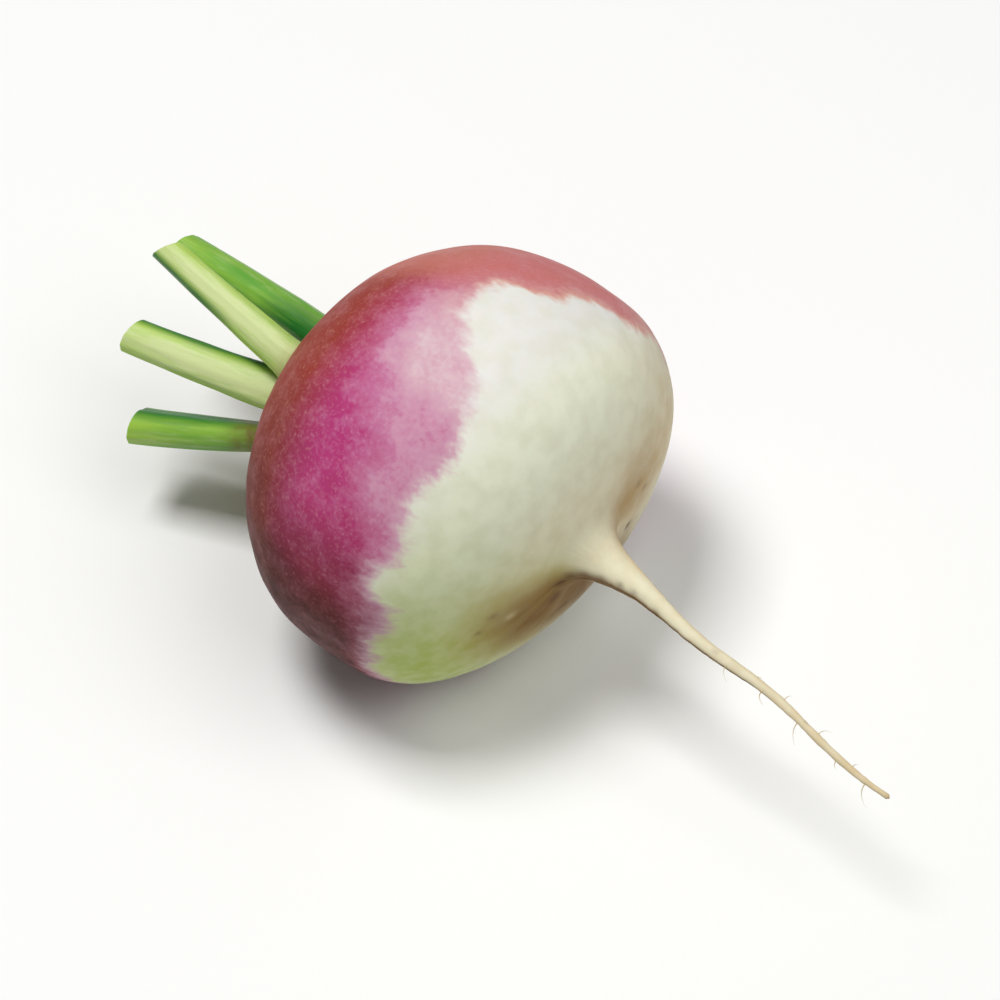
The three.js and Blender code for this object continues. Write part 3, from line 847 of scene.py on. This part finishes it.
def tube(bm, around, along, place):
    """A grid rolled up into an open tube. place gives a point for a turn and a run, both 0 to 1."""
    made = bmesh.ops.create_grid(bm, x_segments=around, y_segments=along, size=0.5)["verts"]
    for vert in made:
        place(vert, vert.co.x + 0.5, vert.co.y + 0.5)
    bmesh.ops.remove_doubles(bm, verts=made, dist=1e-6)


def open_edges(bm, old):
    """Open edges of a tube, in order: those of the points that are not among the old ones."""
    made = [vert for vert in bm.verts if vert not in old]
    edges = (edge for vert in made for edge in vert.link_edges)
    return list(dict.fromkeys(edge for edge in edges if edge.is_boundary))


# The rings that close a cut end: size as a share of the ring outside it, how much further out
# it stands in millimetres, and the index of its material
CUT_RINGS = [
    (0.96, 0.12, 0), (0.94, 0.02, 1), (0.84, -0.06, 1), (0.6, -0.06, 1), (0.4, 0, 1),
]


def cut_end(bm, edges, centre, forward):
    """Closes a cut end: a rounded rim of skin, then rings of flesh that dip to the middle."""
    for scale, lift, index in CUT_RINGS:
        made = bmesh.ops.extrude_edge_only(bm, edges=edges)["geom"]
        edges = [item for item in made if isinstance(item, bmesh.types.BMEdge)]
        for item in made:
            if isinstance(item, bmesh.types.BMVert):
                item.co = centre + (item.co - centre) * scale + forward * lift * MM
            if isinstance(item, bmesh.types.BMFace):
                item.material_index = index
    last = list(dict.fromkeys(vert for edge in edges for vert in edge.verts))
    faces = bmesh.ops.contextual_create(bm, geom=last)["faces"]
    for face in bmesh.ops.poke(bm, faces=faces)["faces"]:
        face.material_index = 1


class StalkForm:
    """A stalk's form, from the same named sizes as its solid, in millimetres."""

    ROOTING = 3
    BEND = 0.35
    TAPER_POWER = 0.7
    INNER_FLATNESS = 0.9
    GROOVE_DEPTH = 0.13
    GROOVE_WIDTH = 0.2

    def __init__(self, spec, crown, height):
        base = Vector((0, *spec["base"]))
        self.start = Vector((self.ROOTING - crown, 0, height)) + base
        self.finish = Vector((-crown - spec["reach"], spec["end"][0], spec["end"][1] + height))
        self.middle = self.start.lerp(self.finish, self.BEND) + base.normalized()
        self.inwards = -base.normalized()
        self.length = (self.finish - self.start).length
        self.widths = spec["widths"]
        self.thick = spec["thick"]
        self.slant = spec["slant"]

    def centre(self, run):
        """Point of the centre line."""
        ends = self.start * (1 - run) ** 2 + self.finish * run ** 2
        return ends + self.middle * (2 * run * (1 - run))

    def forward(self, run):
        """Direction of the centre line."""
        early = self.middle - self.start
        late = self.finish - self.middle
        return (early * (1 - run) + late * run).normalized()

    def point(self, across, deep, run, swell=1.0):
        """A point of the section, which is one unit wide and thick, at a run from 0 to 1."""
        longest = 1 + (abs(self.slant[0]) + abs(self.slant[1])) / 2
        along = run * (1 + self.slant[0] * across + self.slant[1] * deep) / longest
        forward = self.forward(along)
        sideways = self.inwards.cross(forward).normalized()
        inner = forward.cross(sideways)
        taper = run ** self.TAPER_POWER
        width = self.widths[0] + (self.widths[1] - self.widths[0]) * taper
        thick = self.thick[0] + (self.thick[1] - self.thick[0]) * taper
        return self.centre(along) + sideways * (across * width * swell) + inner * (deep * thick)


def grow_stalk(bm, spec, form, around, along):
    """Adds one stalk with its groove, ribs, clasping base and cut end to a bmesh."""
    floats = bm.verts.layers.float
    layers = {name: floats.get(name) or floats.new(name) for name in (*STALK_LAYERS, "run")}
    vectors = bm.verts.layers.float_vector
    fibre = vectors.get("fibre") or vectors.new("fibre")
    seed = Vector((spec["reach"], *spec["base"]))
    old = set(bm.verts)

    def place(vert, turn, run):
        angle = turn * ROUND_TURN
        degrees = math.degrees(angle)
        grown = run * form.length
        across = math.cos(angle) / 2
        deep = math.sin(angle) / 2
        groove = form.GROOVE_DEPTH * bump_at(across, 0, form.GROOVE_WIDTH)
        if deep > 0:
            deep *= form.INNER_FLATNESS - groove
        ribs = 0.016 * math.cos(11 * angle) * ramp(-math.sin(angle), -0.2, 0.5)
        lumps = 0.03 * noise.noise(seed + Vector((across * 2, deep * 2, grown / 7)))
        fibres = 0.012 * noise.noise(seed + Vector((across * 9, deep * 9, grown / 12)))
        uneven = 1 + ribs + lumps + fibres
        clasp = 0.1 * (1 - ramp(grown, 3, 8))
        vert.co = form.point(across * uneven, deep * uneven, run, 1 + clasp) * MM
        bleached = spec["pale"] * (1 - 0.25 * ramp(run, 0.75, 1))
        vert[layers["pale"]] = bleached * bump_at(apart(degrees, spec["pale_at"]), 0, 50)
        # Dark margin; on the upper green stalk it is painted shadow, darker towards the crown
        margin = bump_at(apart(degrees, spec["dark_at"]), 0, spec["dark_wide"])
        vert[layers["dark_margin_and_painted_shadow"]] = margin * ramp(run, *spec["dark_run"])
        vert[layers["green"]] = spec["green"] - 0.2 * ramp(run, 0.7, 1)
        vert[layers["base"]] = 0.6 * (1 - ramp(grown, 3, 9)) * spec["pale"]
        soiled = 1 - ramp(grown, 3 + 7 * spec["earthy"], 6 + 12 * spec["earthy"])
        vert[layers["soiled"]] = soiled * (0.4 + 0.8 * spec["earthy"])
        vert[layers["run"]] = run
        vert[fibre] = (3 * math.cos(angle), 3 * math.sin(angle), grown * 0.12)

    tube(bm, around, along, place)
    ends = open_edges(bm, old)
    far = [edge for edge in ends if min(vert[layers["run"]] for vert in edge.verts) > 0.99]
    near = [edge for edge in ends if max(vert[layers["run"]] for vert in edge.verts) < 0.01]
    for edge in far:
        edge.smooth = False
    bmesh.ops.contextual_create(bm, geom=near)
    cut_end(bm, far, form.point(0, 0, 1) * MM, form.forward(1))


def add_strands(bm, form):
    """Strands that show in the cut end as an arc of flat dots, the largest in the middle."""
    forward = form.forward(1)
    flat = forward.to_track_quat("Z", "Y").to_matrix().to_4x4()
    for step in range(-3, 4):
        angle = -ROUND_TURN / 4 + step * 0.5
        spot = form.point(0.31 * math.cos(angle), 0.31 * math.sin(angle), 1) - forward * 0.04
        size = 0.44 - 0.06 * abs(step)
        lie = Matrix.Translation(spot * MM) @ flat @ Matrix.Diagonal((1, 1, 0.3, 1))
        made = bmesh.ops.create_icosphere(bm, subdivisions=2, radius=size * MM, matrix=lie)
        for face in {face for vert in made["verts"] for face in vert.link_faces}:
            face.material_index = 2


def smooth_sides(bm):
    """Smooth shading everywhere but on the cut ends."""
    for face in bm.faces:
        face.smooth = face.material_index != 1


class TURNIP_OT_leaf_stalks(bpy.types.Operator):
    """Makes the four cut leaf stalks"""

    bl_idname = "turnip.leaf_stalks"
    bl_label = "Leaf stalks"

    # Faces round a stalk, and rows of them along it
    AROUND = 64
    ALONG = 90

    def execute(self, context):
        sizes = settings("turnip_root")
        materials = [stalk_skin(), cut_flesh(), bundle_fibre()]
        for spec in STALKS:
            bm = bmesh.new()
            form = StalkForm(spec, sizes.crown_depth / MM, sizes.axis_height / MM)
            grow_stalk(bm, spec, form, self.AROUND, self.ALONG)
            add_strands(bm, form)
            bmesh.ops.recalc_face_normals(bm, faces=bm.faces)
            smooth_sides(bm)
            finish_piece(bm, spec["name"], materials, [spec["node"]])
        return {"FINISHED"}


class TURNIP_OT_heart_leaves(bpy.types.Operator):
    """Makes the trimmed bases of the youngest leaves"""

    bl_idname = "turnip.heart_leaves"
    bl_label = "Heart leaves"

    # Faces round a leaf base, and rows of them along it
    AROUND = 32
    ALONG = 24

    def execute(self, context):
        sizes = settings("turnip_root")
        bm = bmesh.new()
        for y, z, tall, half in HEART_LEAVES:
            spec = {
                "base": (y, z), "end": (y * 1.1, z * 1.1), "reach": tall,
                "widths": (2.1 * half, 1.6 * half), "thick": (1.8 * half, 1.3 * half),
                "slant": (0.1, 0.1), "pale_at": 90, "pale": 0.7, "dark_at": 270,
                "dark_wide": 30, "dark_run": (-1, 1), "green": 0.3, "earthy": 0.2,
            }
            form = StalkForm(spec, sizes.crown_depth / MM, sizes.axis_height / MM)
            grow_stalk(bm, spec, form, self.AROUND, self.ALONG)
        bmesh.ops.recalc_face_normals(bm, faces=bm.faces)
        smooth_sides(bm)
        made = bpy.data.materials
        materials = [made["leaf_stalk_skin_grown"], made["leaf_stalk_flesh_cut"]]
        finish_piece(bm, "heart_leaves", materials, ["heart_stub"])
        return {"FINISHED"}


class TURNIP_OT_rootlets(bpy.types.Operator):
    """Makes the fine rootlets on the taproot"""

    bl_idname = "turnip.rootlets"
    bl_label = "Rootlets"

    # Faces round a rootlet, rows of them along it, how many rootlets there are, and where the
    # first and the last of them leave the taproot, in millimetres along the axis
    AROUND = 6
    ALONG = 10
    COUNT = 9
    FIRST = 56
    LAST = 85

    def execute(self, context):
        form = RootForm(settings("turnip_root"))
        draw = random.Random(7)
        bm = bmesh.new()
        for number in range(self.COUNT):
            share = number / (self.COUNT - 1)
            x = self.FIRST + (self.LAST - self.FIRST) * share + draw.uniform(-1, 1)
            side = 1 if number % 2 else -1
            angle = math.radians(draw.uniform(-35, 35)) + (0 if side > 0 else math.pi)
            self.rootlet(bm, form, x, angle, draw)
        bmesh.ops.recalc_face_normals(bm, faces=bm.faces)
        for face in bm.faces:
            face.smooth = True
        finish_piece(bm, "rootlets", [rootlet_skin()], [])
        return {"FINISHED"}

    def rootlet(self, bm, form, x, angle, draw):
        """One hair-like rootlet that leaves the taproot sideways and bends towards its tip."""
        side, rise = form.centre(x)
        outwards = Vector((0, math.cos(angle), math.sin(angle)))
        start = Vector((x, side, rise + form.height)) + outwards * (form.radius(x) * 0.7)
        length = draw.uniform(1.5, 5.0)
        thick = draw.uniform(0.08, 0.13)
        bend = Vector((draw.uniform(0.5, 1.1), draw.uniform(-0.3, 0.3), draw.uniform(-0.5, 0)))

        def place(vert, turn, run):
            straight = outwards * (length * run * (1 - 0.35 * run))
            middle = start + straight + bend * (length * run * run * 0.6)
            size = thick * (1 - 0.75 * run)
            around = Vector((math.cos(turn * ROUND_TURN), 0, 0))
            across = outwards.cross(Vector((1, 0, 0))) * math.sin(turn * ROUND_TURN)
            vert.co = (middle + (around + across) * size) * MM

        old = set(bm.verts)
        tube(bm, self.AROUND, self.ALONG, place)
        bmesh.ops.holes_fill(bm, edges=open_edges(bm, old), sides=self.AROUND)


class TURNIP_OT_stage(bpy.types.Operator):
    """Makes the floor, the soft lights and the camera"""

    bl_idname = "turnip.stage"
    bl_label = "Stage"

    def execute(self, context):
        stage = settings("turnip_stage")
        self.floor()
        sideways, upwards, back = self.directions(stage)
        centre = Vector((0, 0, settings("turnip_root").axis_height))
        aim = centre + sideways * (6 * MM) - upwards * (5.2 * MM)
        self.camera(stage, aim, back)
        # The key hangs 1.2 m overhead and a little to the left. The fill is about 1.3 m off,
        # right of the camera and above it.
        above = centre + Vector((0, 0, 1.2)) + upwards * 0.1 - sideways * 0.32
        beside = aim + (back + sideways * 0.45 + upwards * 0.4) * 1.1
        self.light("key_light", above, centre, stage.key_size, stage.key_power)
        self.light("fill_light", beside, aim, stage.fill_size, stage.fill_power)
        world = bpy.data.worlds.new("soft_surround")
        world.use_nodes = True
        wire(world.node_tree, world.node_tree.nodes["Background"], {
            "Color": (1, 1, 1, 1), "Strength": stage.surround,
        })
        context.scene.world = world
        context.scene.view_settings.view_transform = "Standard"
        return {"FINISHED"}

    def directions(self, stage):
        """Right, up and towards the camera, in the view that the stage asks for."""
        turn = stage.azimuth - ROUND_TURN / 4
        level = Vector((math.cos(turn), math.sin(turn), 0))
        back = level * math.cos(stage.elevation) + Vector((0, 0, math.sin(stage.elevation)))
        sideways = Vector((-math.sin(turn), math.cos(turn), 0))
        return sideways, back.cross(sideways), back

    def floor(self):
        """A broad pale board under the turnip."""
        bm = bmesh.new()
        bmesh.ops.create_grid(bm, x_segments=4, y_segments=4, size=3)
        mesh = bpy.data.meshes.new("floor")
        bm.to_mesh(mesh)
        bm.free()
        board = bpy.data.objects.new("floor", mesh)
        bpy.context.scene.collection.objects.link(board)
        mesh.materials.append(floor_paint())

    def camera(self, stage, aim, back):
        """A long lens from the photograph's direction."""
        data = bpy.data.cameras.new("camera")
        data.lens = data.sensor_width * stage.distance / stage.view_width
        camera = bpy.data.objects.new("camera", data)
        bpy.context.scene.collection.objects.link(camera)
        camera.location = aim + back * stage.distance
        camera.rotation_euler = (-back).to_track_quat("-Z", "Y").to_euler()
        bpy.context.scene.camera = camera

    def light(self, name, place, aim, size, power):
        """A soft square light that looks at the turnip."""
        data = bpy.data.lights.new(name, "AREA")
        data.size = size
        data.energy = power
        lamp = bpy.data.objects.new(name, data)
        bpy.context.scene.collection.objects.link(lamp)
        lamp.location = place
        lamp.rotation_euler = (aim - place).to_track_quat("-Z", "Y").to_euler()


class TURNIP_PT_maker(bpy.types.Panel):
    """Lists the makers of the turnip's pieces"""

    bl_label = "Turnip"
    bl_idname = "TURNIP_PT_maker"
    bl_space_type = "VIEW_3D"
    bl_region_type = "UI"
    bl_category = "Turnip"

    def draw(self, context):
        for operator in OPERATORS:
            self.layout.operator(operator.bl_idname)
        for group in GROUPS:
            box = self.layout.box()
            for key in GROUPS[group].__annotations__:
                box.prop(getattr(context.scene, group), key)


OPERATORS = [
    TURNIP_OT_swollen_root,
    TURNIP_OT_leaf_stalks,
    TURNIP_OT_heart_leaves,
    TURNIP_OT_rootlets,
    TURNIP_OT_stage,
]
GROUPS = {
    "turnip_root": TurnipRootSettings,
    "turnip_skin": TurnipSkinColours,
    "turnip_stalks": TurnipStalkColours,
    "turnip_stage": TurnipStageSettings,
}


def register():
    """Registers the settings, the operators and the panel."""
    for name, group in GROUPS.items():
        bpy.utils.register_class(group)
        setattr(bpy.types.Scene, name, bpy.props.PointerProperty(type=group))
    for operator in OPERATORS:
        bpy.utils.register_class(operator)
    bpy.utils.register_class(TURNIP_PT_maker)


def unregister():
    """Takes the panel, the operators and the settings away again."""
    bpy.utils.unregister_class(TURNIP_PT_maker)
    for operator in reversed(OPERATORS):
        bpy.utils.unregister_class(operator)
    for name, group in GROUPS.items():
        delattr(bpy.types.Scene, name)
        bpy.utils.unregister_class(group)


def main():
    register()
    bpy.ops.turnip.swollen_root()
    bpy.ops.turnip.leaf_stalks()
    bpy.ops.turnip.heart_leaves()
    bpy.ops.turnip.rootlets()
    bpy.ops.turnip.stage()


if __name__ == "__main__":
    main()
